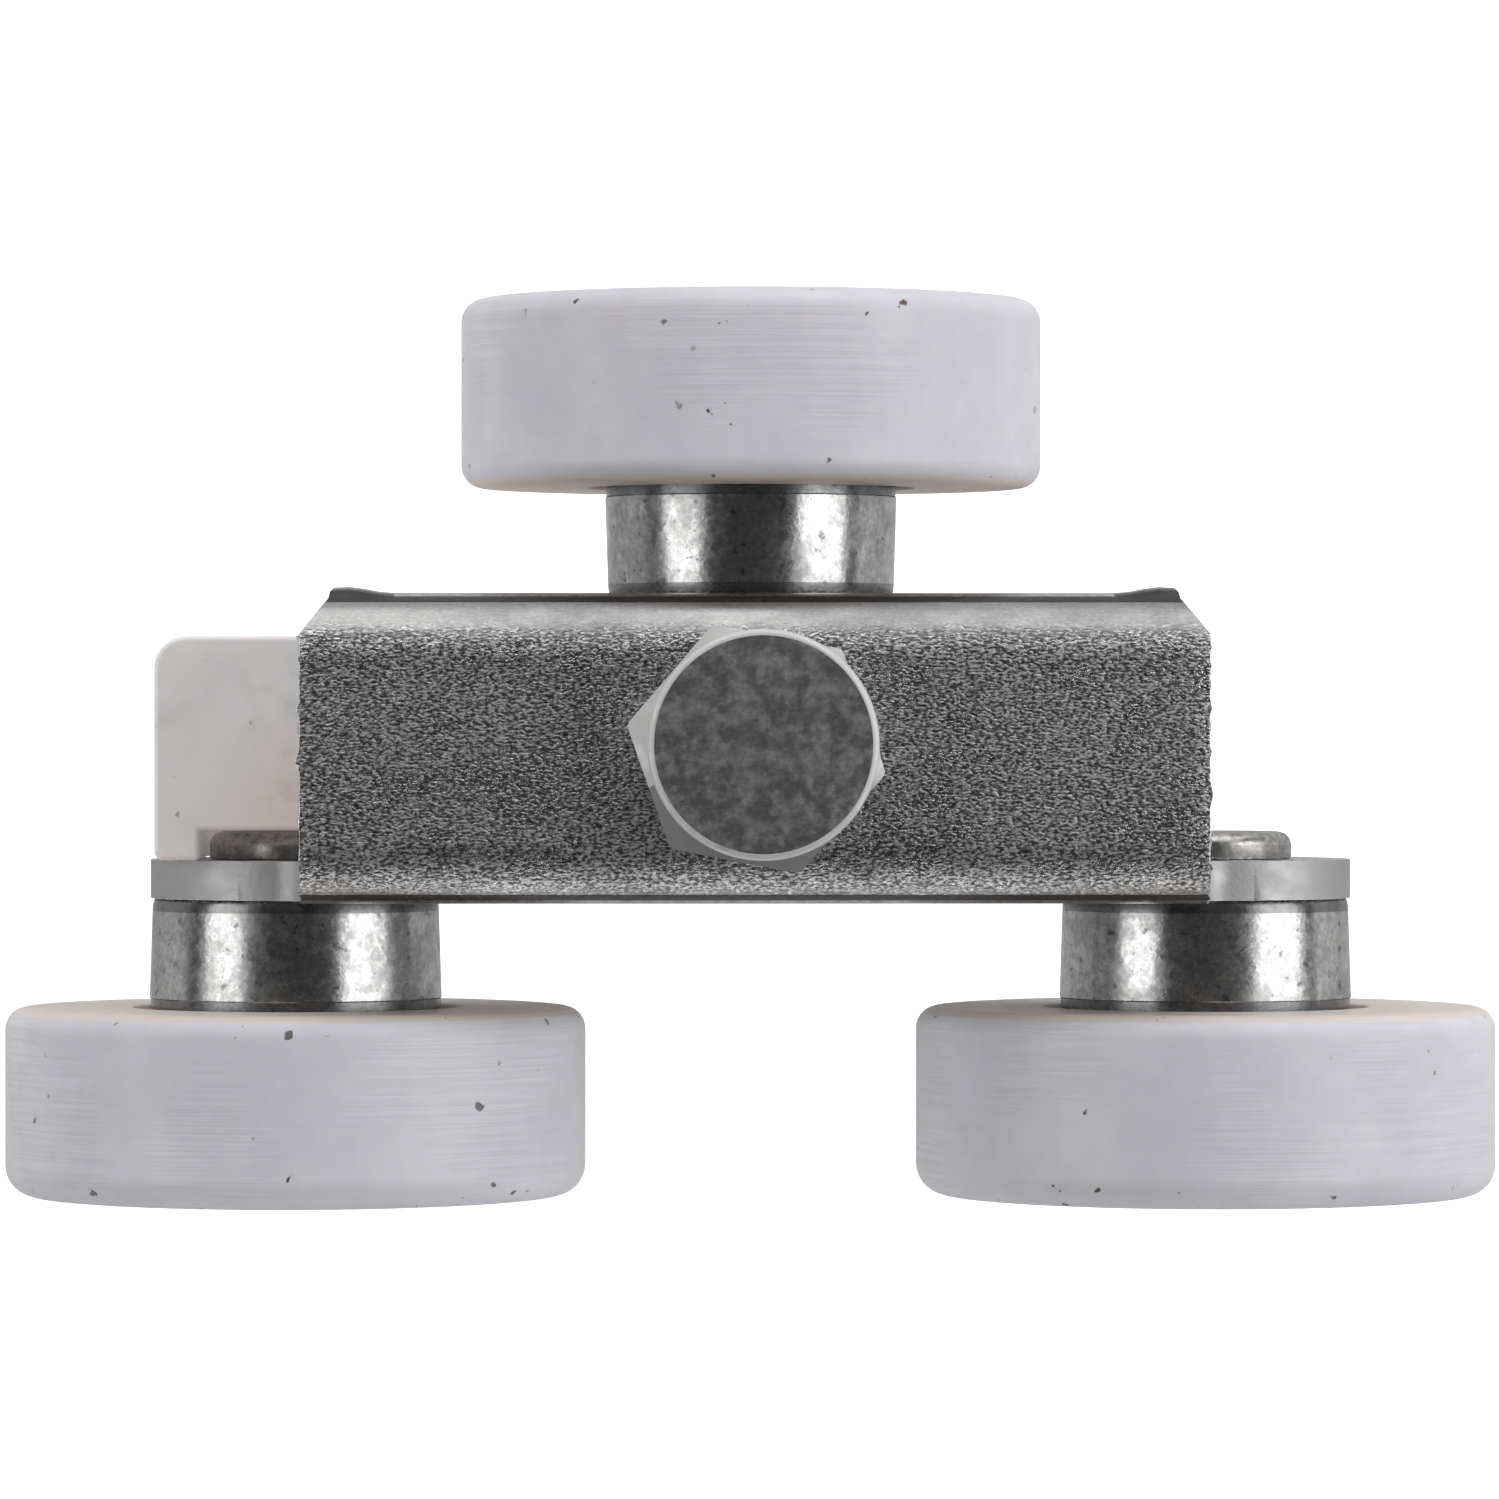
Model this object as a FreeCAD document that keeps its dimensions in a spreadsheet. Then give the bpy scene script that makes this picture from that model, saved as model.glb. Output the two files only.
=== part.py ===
"""Three-wheel sliding door roller: a folded steel carriage that runs in an overhead track.

Frame, in millimetres: the origin is on the hanger bolt's axis, at the height of the wheel axles.
+X runs along the track, +Y points to the side with the single wheel, +Z is up.
The pair of wheels is on the -Y flange. Each wheel turns on ball bearings about a riveted axle
parallel to Y. The door hangs on the bolt, which swivels in the carriage's web.
"""
import FreeCAD, Part  # FreeCAD first: Part needs it loaded
import os
import re

import Sketcher
from FreeCAD import Placement, Rotation, Vector

doc = FreeCAD.newDocument("SlidingDoorRoller")

# ---------------------------------------------------------------- driving dimensions
DIMENSIONS = {
    # carriage, folded from 15 gauge sheet
    "sheet": 1.71,
    "channel_half": 6.6,
    "bend_outer": 2.7,
    "web_top": 14.0,
    "web_half_length": 19.2,
    "single_flange_half": 17.85,
    "corner_cut": 1.75,
    "ear_radius": 6.35,
    "ear_fillet": 1.6,
    "flange_skirt": 8.6,
    "bolt_hole_dia": 6.5,
    "axle_hole_dia": 4.06,
    # wheels and where their axles are
    "pair_axle_x": 19.95,
    "wheel_dia": 25.4,
    "wheel_inner_face": 11.35,
    "wheel_width": 8.25,
    "wheel_inner_round": 1.0,
    "wheel_outer_round": 1.4,
    "wheel_recess_dia": 14.2,
    "wheel_recess_depth": 0.55,
    # ball bearing
    "race_outer_dia": 13.4,
    "race_bore_dia": 9.8,
    "cone_dia": 6.6,
    "ball_dia": 2.38,
    "ball_pitch_dia": 8.2,
    "ball_gap": 0.05,
    "race_width": 6.6,
    # spacer collar between flange and bearing
    "collar_dia": 12.7,
    "collar_taper": 0.06,
    "collar_end": 11.45,
    "collar_round": 0.7,
    # axle rivet
    "axle_dia": 4.0,
    "rivet_head_dia": 7.55,
    "rivet_head_thick": 1.2,
    "rivet_head_round": 0.55,
    "rivet_tail_dia": 6.2,
    "rivet_tail_thick": 0.8,
    "shield_thick": 0.35,
    "shield_bore_dia": 7.2,
    # hanger bolt and what is on it
    "bolt_dia": 6.35,
    "bolt_end_dia": 5.9,
    "bolt_end_length": 12.0,
    "bolt_length": 44.45,
    "bolt_point": 0.8,
    "head_flats": 9.525,
    "head_thick": 4.0,
    "head_turn": -10.7,
    "swivel_gap": 0.05,
    "head_face_dia": 9.3,
    "head_chamfer": 0.55,
    "retainer_dia": 7.6,
    "retainer_thick": 1.0,
    "washer_dia": 12.4,
    "washer_bore_dia": 6.7,
    "washer_thick": 1.57,
    "washer_split": 0.8,
    "washer_top": -9.6,
    "nut_flats": 11.11,
    "nut_face_dia": 10.7,
    "nut_thick": 5.56,
    "nut_bore_dia": 6.5,
    "nut_chamfer": 0.5,
    "nut_turn": 12.0,
    # nylon bumper between the flanges
    "bumper_left": -25.8,
    "bumper_length": 18.9,
    "bumper_low_side": -4.85,
    "bumper_high_side": 4.82,
    "bumper_top": 6.0,
    "bumper_bottom": -5.6,
    "bumper_high_round": 1.4,
    "bumper_low_round": 0.4,
    "socket_dia": 4.6,
    "socket_roof": 2.5,
    "socket_from_left": 5.1,
    "notch_depth": 1.3,
    "notch_from_left": 1.94,
    "notch_length": 8.4,
    "notch_floor": -4.2,
}
BALLS_PER_WHEEL = 9
TOLERANCE = 1e-3  # how near an edge has to be to be the one looked for
TINY = 1e-9
START, END, CENTRE = 1, 2, 3  # the points of an edge or arc, as the sketcher numbers them

sheet = doc.addObject("Spreadsheet::Sheet", "Dimensions")
for row, (alias, value) in enumerate(DIMENSIONS.items(), start=1):
    sheet.set(f"A{row}", alias)
    sheet.set(f"B{row}", str(value))
    sheet.setAlias(f"B{row}", alias)
doc.recompute()

CELLS = {alias: f"{sheet.Name}.{alias}" for alias in DIMENSIONS}
parts = []


def cell(expression):
    """An expression with each dimension's name written as a cell of the sheet."""
    return re.sub(r"[a-z][a-z_]+", lambda word: CELLS.get(word.group(), word.group()), expression)


# ---------------------------------------------------------------- helpers for bodies and sketches
def new_body(label):
    """A body that becomes one sub-part."""
    body = doc.addObject("PartDesign::Body", label)
    body.Label = label
    parts.append(body)
    return body


def new_sketch(body, role, offset="0"):
    """A sketch on one of the body's origin planes, moved along its normal by an expression."""
    support = next(item for item in body.Origin.OriginFeatures if item.Role == role)
    sketch = body.newObject("Sketcher::SketchObject", f"{body.Label}_sketch")
    sketch.AttachmentSupport = [(support, "")]
    sketch.MapMode = "FlatFace"
    sketch.setExpression("AttachmentOffset.Base.z", cell(offset))
    return sketch


def value_of(expression):
    """The present value of an expression of the sheet's aliases."""
    answer = sheet.evalExpression(cell(expression))
    return float(getattr(answer, "Value", answer))


def place(sketch, geometry, point, x, y):
    """Ties one point of a sketch to a place given by two expressions."""
    for kind, expression, axis in (("DistanceX", x, -2), ("DistanceY", y, -1)):
        distance = value_of(expression)
        if abs(distance) < TINY:
            sketch.addConstraint(Sketcher.Constraint("PointOnObject", geometry, point, axis))
        else:
            link = Sketcher.Constraint(kind, -1, 1, geometry, point, distance)
            sketch.setExpression(f"Constraints[{sketch.addConstraint(link)}]", cell(expression))


def circle(sketch, diameter, x="0", y="0"):
    """A circle whose size and centre are bound to the sheet."""
    centre = Vector(value_of(x), value_of(y), 0)
    ring = sketch.addGeometry(Part.Circle(centre, Vector(0, 0, 1), value_of(diameter) / 2), False)
    size = Sketcher.Constraint("Diameter", ring, value_of(diameter))
    sketch.setExpression(f"Constraints[{sketch.addConstraint(size)}]", cell(diameter))
    place(sketch, ring, CENTRE, x, y)


def outline(sketch, corners):
    """A closed outline of straight edges, every corner of it bound to the sheet."""
    first = sketch.GeometryCount
    points = [Vector(value_of(x), value_of(y), 0) for x, y in corners]
    for start, end in zip(points, points[1:] + points[:1]):
        sketch.addGeometry(Part.LineSegment(start, end), False)
    for number, (x, y) in enumerate(corners):
        following = first + (number + 1) % len(corners)
        sketch.addConstraint(Sketcher.Constraint("Coincident", first + number, END, following, START))
        place(sketch, first + number, START, x, y)


def hexagon(sketch, flats, turn):
    """A regular hexagon by its width across flats, one corner turned from the sketch's X axis."""
    radius = f"{flats} / sqrt(3)"
    angles = [f"({turn} + {60 * number}) * 1 deg" for number in range(6)]
    outline(sketch, [(f"{radius} * cos({angle})", f"{radius} * sin({angle})") for angle in angles])


def add(body, kind, sketch, **settings):
    """A feature made from a sketch; settings that are text are bound to the sheet.

    Pockets and grooves are checked to remove material, because one that points away
    from the solid raises no error.
    """
    doc.recompute()
    before = body.Shape.Volume if body.Tip else 0.0
    feature = body.newObject(f"PartDesign::{kind}", f"{body.Label}_{kind.lower()}")
    feature.Profile = sketch
    if kind in ("Revolution", "Groove"):
        feature.ReferenceAxis = (sketch, ["V_Axis"])
        feature.Angle = 360
    for name, setting in settings.items():
        if isinstance(setting, str):
            feature.setExpression(name, cell(setting))
        else:
            setattr(feature, name, setting)
    sketch.Visibility = False
    doc.recompute()
    grew = body.Shape.Volume - before
    if (kind in ("Pocket", "Groove")) != (grew < 0):
        raise RuntimeError(f"{feature.Label} changes the volume by {grew:.3f}")


def soften(body, size, test):
    """A fillet on every edge of the body's tip that passes a test."""
    doc.recompute()
    names = [f"Edge{n}" for n, edge in enumerate(body.Shape.Edges, start=1) if test(edge)]
    if not names:
        raise RuntimeError(f"{body.Label} has no edge to round")
    tip = body.Tip
    feature = body.newObject("PartDesign::Fillet", f"{body.Label}_fillet")
    feature.Base = (tip, names)
    feature.setExpression("Radius", cell(size))
    doc.recompute()


def rim(diameter, height):
    """A test for a circular edge about the body's Z axis."""
    def test(edge):
        curve = edge.Curve
        return (isinstance(curve, Part.Circle)
                and abs(curve.Radius - value_of(diameter) / 2) < TOLERANCE
                and abs(curve.Center.z - value_of(height)) < TOLERANCE)
    return test


def straight(**at):
    """A test for a straight edge whose middle has the given coordinates."""
    wanted = {axis: value_of(expression) for axis, expression in at.items()}

    def test(edge):
        middle = edge.CenterOfMass
        flat = isinstance(edge.Curve, (Part.Line, Part.LineSegment))
        return flat and all(abs(getattr(middle, axis) - v) < TOLERANCE for axis, v in wanted.items())
    return test


def turned(label, corners):
    """A body turned about Z from an outline of radius and height."""
    body = new_body(label)
    sketch = new_sketch(body, "XZ_Plane")
    outline(sketch, corners)
    add(body, "Revolution", sketch)
    return body


def ring_outline(inner_dia, outer_dia, low, high):
    """The outline of a plain ring."""
    inner, outer = f"({inner_dia}) / 2", f"({outer_dia}) / 2"
    return [(inner, low), (outer, low), (outer, high), (inner, high)]


# ---------------------------------------------------------------- carriage bracket
def make_bracket():
    """The folded channel: a web, a tapered flange at +Y and a flange with two ears at -Y."""
    body = new_body("bracket")
    inner = "channel_half - sheet"

    section = new_sketch(body, "YZ_Plane")
    outline(section, [
        ("-channel_half", "-ear_radius"), ("-channel_half", "web_top"),
        ("channel_half", "web_top"), ("channel_half", "flange_skirt"),
        (inner, "flange_skirt"), (inner, "web_top - sheet"),
        (f"-({inner})", "web_top - sheet"), (f"-({inner})", "-ear_radius"),
    ])
    add(body, "Pad", section, Length="2 * web_half_length", Midplane=True)
    for side in ("", "-"):
        soften(body, "bend_outer", straight(y=f"{side}channel_half", z="web_top"))
        soften(body, "bend_outer - sheet", straight(y=f"{side}({inner})", z="web_top - sheet"))

    # the web's two corners over the single-wheel flange are cut off
    corners = new_sketch(body, "XY_Plane", offset="web_top + sheet")
    for side in ("", "-"):
        beyond = f"{side}(web_half_length + sheet)"
        outline(corners, [
            (f"{side}single_flange_half", "channel_half + sheet"),
            (f"{side}single_flange_half", "channel_half"),
            (f"{side}web_half_length", "channel_half - corner_cut"),
            (beyond, "channel_half - corner_cut"), (beyond, "channel_half + sheet"),
        ])
    add(body, "Pocket", corners, Length="web_top")

    # the -Y flange: an ear about each axle of the pair, and a straight lower edge between them
    for shape in ("lower edge", "left ear", "right ear"):
        sketch = new_sketch(body, "XZ_Plane", offset=inner)
        if shape == "lower edge":
            outline(sketch, [
                ("-pair_axle_x", "-ear_radius"), ("pair_axle_x", "-ear_radius"),
                ("pair_axle_x", "0"), ("-pair_axle_x", "0"),
            ])
        else:
            circle(sketch, "2 * ear_radius", "pair_axle_x" if shape == "right ear" else "-pair_axle_x")
        add(body, "Pad", sketch, Length="sheet")
    crotch = "sqrt(ear_radius^2 - (pair_axle_x - web_half_length)^2)"
    for side in ("", "-"):
        soften(body, "ear_fillet", straight(x=f"{side}web_half_length", z=crotch))

    # the +Y flange: tapers from its skirt to a lobe about the single axle, tangent to it
    reach = "sqrt(flange_skirt^2 + single_flange_half^2)"
    touch = f"(atan2(flange_skirt; single_flange_half) - acos(ear_radius / {reach}))"
    touch_x, touch_z = f"ear_radius * cos({touch})", f"ear_radius * sin({touch})"
    taper = new_sketch(body, "XZ_Plane", offset="-channel_half")
    outline(taper, [
        (f"-({touch_x})", touch_z), (touch_x, touch_z),
        ("single_flange_half", "flange_skirt"), ("-single_flange_half", "flange_skirt"),
    ])
    add(body, "Pad", taper, Length="sheet")
    lobe = new_sketch(body, "XZ_Plane", offset="-channel_half")
    circle(lobe, "2 * ear_radius")
    add(body, "Pad", lobe, Length="sheet")

    bolt_hole = new_sketch(body, "XY_Plane", offset="web_top + sheet")
    circle(bolt_hole, "bolt_hole_dia")
    add(body, "Pocket", bolt_hole, Length="3 * sheet")
    for axle_x, face in (("pair_axle_x", "channel_half + sheet"), ("-pair_axle_x", "channel_half + sheet"),
                         ("0", f"sheet - ({inner})")):
        hole = new_sketch(body, "XZ_Plane", offset=face)
        circle(hole, "axle_hole_dia", axle_x)
        add(body, "Pocket", hole, Length="3 * sheet")


# ---------------------------------------------------------------- wheels, bearings and axles
def make_wheel_set(name, axle_x, turn):
    """One wheel with its bearing, collar and rivet; local Z runs outwards along the axle."""
    middle = "(wheel_inner_face + wheel_width / 2)"
    race_in, race_out = f"{middle} - race_width / 2", f"{middle} + race_width / 2"
    wheel_out = "wheel_inner_face + wheel_width"
    ball_track = "ball_dia + 2 * ball_gap"
    first = len(parts)

    wheel = turned(f"nylon_wheel_{name}", [
        ("wheel_recess_dia / 2", "wheel_inner_face"), ("wheel_dia / 2", "wheel_inner_face"),
        ("wheel_dia / 2", wheel_out), ("wheel_recess_dia / 2", wheel_out),
        ("wheel_recess_dia / 2", f"{wheel_out} - wheel_recess_depth"),
        ("race_outer_dia / 2", f"{wheel_out} - wheel_recess_depth"),
        ("race_outer_dia / 2", "wheel_inner_face + wheel_recess_depth"),
        ("wheel_recess_dia / 2", "wheel_inner_face + wheel_recess_depth"),
    ])
    for side, height in (("inner", "wheel_inner_face"), ("outer", wheel_out)):
        soften(wheel, f"wheel_{side}_round", rim("wheel_dia", height))

    races = {
        f"outer_race_{name}": ring_outline("race_bore_dia", "race_outer_dia", race_in, race_out),
        f"inner_race_{name}": ring_outline("axle_hole_dia", "cone_dia", "collar_end", race_out),
    }
    for label, corners in races.items():
        race = turned(label, corners)
        track = new_sketch(race, "XZ_Plane")
        circle(track, ball_track, "ball_pitch_dia / 2", middle)
        add(race, "Groove", track)

    make_balls(f"bearing_balls_{name}", middle)
    turned(f"dust_shield_{name}",
           ring_outline("shield_bore_dia", "race_outer_dia", race_out, f"{race_out} + shield_thick"))

    collar = turned(f"spacer_collar_{name}", [
        ("axle_hole_dia / 2", "channel_half"), ("collar_dia / 2 - collar_taper", "channel_half"),
        ("collar_dia / 2 + collar_taper", "collar_end"), ("axle_hole_dia / 2", "collar_end"),
    ])
    soften(collar, "collar_round", rim("collar_dia - 2 * collar_taper", "channel_half"))
    soften(collar, "collar_round", rim("collar_dia + 2 * collar_taper", "collar_end"))

    seat = "channel_half - sheet"
    rivet = turned(f"axle_rivet_{name}", [
        ("0", f"{seat} - rivet_head_thick"), ("rivet_head_dia / 2", f"{seat} - rivet_head_thick"),
        ("rivet_head_dia / 2", seat), ("axle_dia / 2", seat), ("axle_dia / 2", race_out),
        ("rivet_tail_dia / 2", race_out), ("rivet_tail_dia / 2", f"{race_out} + rivet_tail_thick"),
        ("0", f"{race_out} + rivet_tail_thick"),
    ])
    soften(rivet, "rivet_head_round", rim("rivet_head_dia", f"{seat} - rivet_head_thick"))
    soften(rivet, "rivet_head_round", rim("rivet_tail_dia", f"{race_out} + rivet_tail_thick"))

    for piece in parts[first:]:
        piece.Placement = Placement(Vector(0, 0, 0), Rotation(Vector(1, 0, 0), turn))
        piece.setExpression("Placement.Base.x", cell(axle_x))


def make_balls(label, height):
    """The ring of bearing balls, as one group of separate solids."""
    balls = []
    for number in range(BALLS_PER_WHEEL):
        angle = f"({number} * 360 / {BALLS_PER_WHEEL}) * 1 deg"
        ball = doc.addObject("Part::Sphere", f"{label}_ball")
        ball.setExpression("Radius", cell("ball_dia / 2"))
        ball.setExpression("Placement.Base.x", cell(f"ball_pitch_dia / 2 * cos({angle})"))
        ball.setExpression("Placement.Base.y", cell(f"ball_pitch_dia / 2 * sin({angle})"))
        ball.setExpression("Placement.Base.z", cell(height))
        balls.append(ball)
    group = doc.addObject("Part::Compound", label)
    group.Label = label
    group.Links = balls
    parts.append(group)


# ---------------------------------------------------------------- hanger bolt and its hardware
def make_bolt():
    """The hanger bolt: hexagon head on the web, plain shank, and the thread as a plain cylinder."""
    under_head = "(web_top + swivel_gap)"
    tip = f"({under_head} - bolt_length)"
    body = turned("hanger_bolt", [
        ("0", under_head), ("bolt_dia / 2", under_head),
        ("bolt_dia / 2", f"{tip} + bolt_end_length"), ("bolt_end_dia / 2", f"{tip} + bolt_end_length"),
        ("bolt_end_dia / 2", f"{tip} + bolt_point"), ("bolt_end_dia / 2 - bolt_point", tip),
        ("0", tip),
    ])
    head = new_sketch(body, "XY_Plane", offset=under_head)
    hexagon(head, "head_flats", "head_turn")
    add(body, "Pad", head, Length="head_thick")
    chamfer_rim(body, "head_face_dia", "head_flats", f"{under_head} + head_thick", "head_chamfer", "-1")


def chamfer_rim(body, face_dia, flats, face, drop, way):
    """Cuts a hexagon's corners to a cone that starts from the round face at its end."""
    beyond = f"({flats}) / sqrt(3) + sheet"
    slope = f"({drop}) / ({flats} / sqrt(3) - {face_dia} / 2)"
    sketch = new_sketch(body, "XZ_Plane")
    outline(sketch, [
        (f"{face_dia} / 2", face), (beyond, f"{face} + {way} * {slope} * ({beyond} - {face_dia} / 2)"),
        (beyond, face),
    ])
    add(body, "Groove", sketch)


def make_bolt_hardware():
    """The ring that keeps the bolt in the web, and the lock washer and nut that clamp a door plate."""
    top = "(web_top - sheet - swivel_gap)"
    turned("retaining_ring", ring_outline("bolt_dia", "retainer_dia", f"{top} - retainer_thick", top))

    washer = turned("lock_washer", ring_outline("washer_bore_dia", "washer_dia",
                                                "washer_top - washer_thick", "washer_top"))
    split = new_sketch(washer, "XY_Plane", offset="washer_top")
    outline(split, [
        ("0", "-washer_split / 2"), ("washer_dia", "-washer_split / 2"),
        ("washer_dia", "washer_split / 2"), ("0", "washer_split / 2"),
    ])
    add(washer, "Pocket", split, Length="washer_thick")

    nut = new_body("adjusting_nut")
    nut_top = "(washer_top - washer_thick - swivel_gap)"
    blank = new_sketch(nut, "XY_Plane", offset=f"{nut_top} - nut_thick")
    hexagon(blank, "nut_flats", "nut_turn")
    add(nut, "Pad", blank, Length="nut_thick")
    chamfer_rim(nut, "nut_face_dia", "nut_flats", nut_top, "nut_chamfer", "-1")
    chamfer_rim(nut, "nut_face_dia", "nut_flats", f"({nut_top} - nut_thick)", "nut_chamfer", "1")
    bore = new_sketch(nut, "XY_Plane", offset=nut_top)
    circle(bore, "nut_bore_dia")
    add(nut, "Pocket", bore, Length="nut_thick")


# ---------------------------------------------------------------- nylon bumper
def make_bumper():
    """The nylon block that fills one end of the channel and stands out past the web."""
    body = new_body("nylon_bumper")
    right = "bumper_left + bumper_length"
    plan = new_sketch(body, "XY_Plane", offset="bumper_bottom")
    outline(plan, [
        ("bumper_left", "bumper_low_side"), (right, "bumper_low_side"),
        (right, "bumper_high_side"), ("bumper_left", "bumper_high_side"),
    ])
    add(body, "Pad", plan, Length="bumper_top - bumper_bottom")
    for side in ("high", "low"):
        soften(body, f"bumper_{side}_round", straight(x="bumper_left", y=f"bumper_{side}_side"))

    # a slot, open at the top, clears the rivet head that stands out of the flange
    notch = new_sketch(body, "XY_Plane", offset="bumper_top")
    start, back = "bumper_left + notch_from_left", "bumper_low_side + notch_depth"
    outline(notch, [
        (start, "bumper_low_side - sheet"), (f"{start} + notch_length", "bumper_low_side - sheet"),
        (f"{start} + notch_length", back), (start, back),
    ])
    add(body, "Pocket", notch, Length="bumper_top - notch_floor")

    socket = new_sketch(body, "XY_Plane", offset="bumper_bottom")
    circle(socket, "socket_dia", "bumper_left + socket_from_left")
    add(body, "Pocket", socket, Length="bumper_top - bumper_bottom - socket_roof", Reversed=True)


# ---------------------------------------------------------------- build, check and write
make_bracket()
make_bumper()
make_wheel_set("single", "0", -90)
make_wheel_set("left", "-pair_axle_x", 90)
make_wheel_set("right", "pair_axle_x", 90)
make_bolt()
make_bolt_hardware()
doc.recompute()

for item in doc.Objects:
    if "Invalid" in item.State or "Error" in item.State:
        raise RuntimeError(f"{item.Label} failed: {item.State}")
for piece in parts:
    if piece.Shape.isNull() or not piece.Shape.isValid():
        raise RuntimeError(f"{piece.Label} has no valid shape")

os.makedirs("parts", exist_ok=True)
for piece in parts:
    piece.Shape.exportStep(f"parts/{piece.Label}.step")
    box = piece.Shape.BoundBox
    print(f"{piece.Label:24s} {box.XLength:7.2f} {box.YLength:7.2f} {box.ZLength:7.2f}"
          f"  {piece.Shape.Volume:9.2f} mm3")
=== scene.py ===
"""Looks of the three-wheel sliding door roller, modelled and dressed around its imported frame."""
import logging
import math
from collections.abc import Callable, Iterable, Sequence
from dataclasses import dataclass, field
from enum import Enum

import bmesh
import bpy
from mathutils import Matrix, Vector, noise


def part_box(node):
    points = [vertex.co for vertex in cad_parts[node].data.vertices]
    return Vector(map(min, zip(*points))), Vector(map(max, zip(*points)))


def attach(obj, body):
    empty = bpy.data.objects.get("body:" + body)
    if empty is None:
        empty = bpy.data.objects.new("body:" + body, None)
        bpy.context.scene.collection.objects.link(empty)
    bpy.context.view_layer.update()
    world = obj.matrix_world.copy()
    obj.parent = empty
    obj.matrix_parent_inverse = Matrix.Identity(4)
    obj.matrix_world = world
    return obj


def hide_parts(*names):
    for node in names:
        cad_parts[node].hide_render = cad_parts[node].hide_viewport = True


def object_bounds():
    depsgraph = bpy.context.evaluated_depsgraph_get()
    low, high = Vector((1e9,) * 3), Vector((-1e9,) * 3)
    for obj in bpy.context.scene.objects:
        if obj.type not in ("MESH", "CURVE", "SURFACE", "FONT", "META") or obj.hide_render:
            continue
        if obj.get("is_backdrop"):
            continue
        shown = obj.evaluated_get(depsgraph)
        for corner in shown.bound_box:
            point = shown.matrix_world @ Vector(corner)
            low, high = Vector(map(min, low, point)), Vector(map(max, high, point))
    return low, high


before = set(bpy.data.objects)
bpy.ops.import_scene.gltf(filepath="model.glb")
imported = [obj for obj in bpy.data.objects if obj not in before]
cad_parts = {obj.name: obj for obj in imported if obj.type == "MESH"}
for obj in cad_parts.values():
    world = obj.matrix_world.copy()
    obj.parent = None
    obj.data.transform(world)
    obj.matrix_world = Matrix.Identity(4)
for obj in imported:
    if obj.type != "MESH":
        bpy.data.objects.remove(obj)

log = logging.getLogger("sliding_door_roller")

MM = 0.001
FULL_TURN = 2 * math.pi
SAME_PLACE = 1e-6
MERGE = 1e-7
LATHE_STEPS = 128
SMOOTH_ANGLE = math.radians(38)

Point = tuple[float, float]
Place = tuple[float, float, float]
Colour = tuple[float, float, float]


# ------------------------------------------------------------------ mesh work
class Side(Enum):
    """The three wheels by where they run, with the way their axles point out of the channel."""

    SINGLE = ("single", 1)
    LEFT = ("left", -1)
    RIGHT = ("right", -1)

    @property
    def label(self) -> str:
        """The word that ends the side's node names."""
        return self.value[0]

    @property
    def outward(self) -> int:
        """1 where the axle points to +Y, -1 where it points to -Y."""
        return self.value[1]

    def node(self, kind: str) -> str:
        """The name of this side's node of one kind."""
        return f"{kind}_{self.label}"

    def placement(self) -> Matrix:
        """The matrix that turns a piece lathed about Z onto the side's axle."""
        lo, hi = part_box(self.node("axle_rivet"))
        across = Matrix.Translation(((lo.x + hi.x) / 2, 0, 0))
        return across @ Matrix.Rotation(-self.outward * math.pi / 2, 4, "X")

    def reach(self, kind: str) -> Point:
        """The nearest and farthest distance of a node from the channel's middle plane."""
        lo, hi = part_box(self.node(kind))
        return (lo.y, hi.y) if self.outward > 0 else (-hi.y, -lo.y)

    def radius(self, kind: str) -> float:
        """The largest radius of a node about its axle."""
        lo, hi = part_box(self.node(kind))
        return (hi.z - lo.z) / 2


def face_mark(bm: bmesh.types.BMesh, name: str) -> bmesh.types.BMLayerItem:
    """The mesh's face layer of that name, made if it isn't there."""
    return bm.faces.layers.float.get(name) or bm.faces.layers.float.new(name)


def lathe(profile: Sequence[Point], steps: int = LATHE_STEPS, closed: bool = True) -> bmesh.types.BMesh:
    """Spins an outline of (radius, height) about Z.

    Args:
        profile: the outline's corners; an open one starts and ends on the axis.
        steps: how many facets go round.
        closed: whether the last corner joins the first.

    Returns:
        A closed mesh with its faces pointing outwards.
    """
    bm = bmesh.new()
    face_mark(bm, "edge")
    verts = [bm.verts.new((radius, 0, height)) for radius, height in profile]
    pairs = list(zip(verts, verts[1:]))
    if closed:
        pairs.append((verts[-1], verts[0]))
    edges = [bm.edges.new(pair) for pair in pairs]
    bmesh.ops.spin(bm, geom=[*verts, *edges], cent=(0, 0, 0), axis=(0, 0, 1), angle=FULL_TURN,
                   steps=steps, use_merge=True)
    bmesh.ops.remove_doubles(bm, verts=bm.verts, dist=MERGE)
    bmesh.ops.recalc_face_normals(bm, faces=bm.faces)
    return bm


def round_edges(bm: bmesh.types.BMesh, edges: Iterable[bmesh.types.BMEdge], size: float,
                segments: int = 3) -> None:
    """Rounds edges and marks the new faces as worn edge."""
    made = bmesh.ops.bevel(bm, geom=list(edges), offset=size, offset_type="OFFSET", segments=segments,
                           profile=0.5, affect="EDGES", clamp_overlap=True, material=-1)
    layer = face_mark(bm, "edge")
    for face in made["faces"]:
        face[layer] = 1.0


def rim_edges(bm: bmesh.types.BMesh, radius: float, height: float) -> list[bmesh.types.BMEdge]:
    """The edges of one rim about Z, by its radius and height."""
    def on_rim(vert: bmesh.types.BMVert) -> bool:
        """Whether a vertex lies on the rim."""
        return abs(vert.co.xy.length - radius) < SAME_PLACE and abs(vert.co.z - height) < SAME_PLACE
    return [edge for edge in bm.edges if all(on_rim(vert) for vert in edge.verts)]


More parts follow.
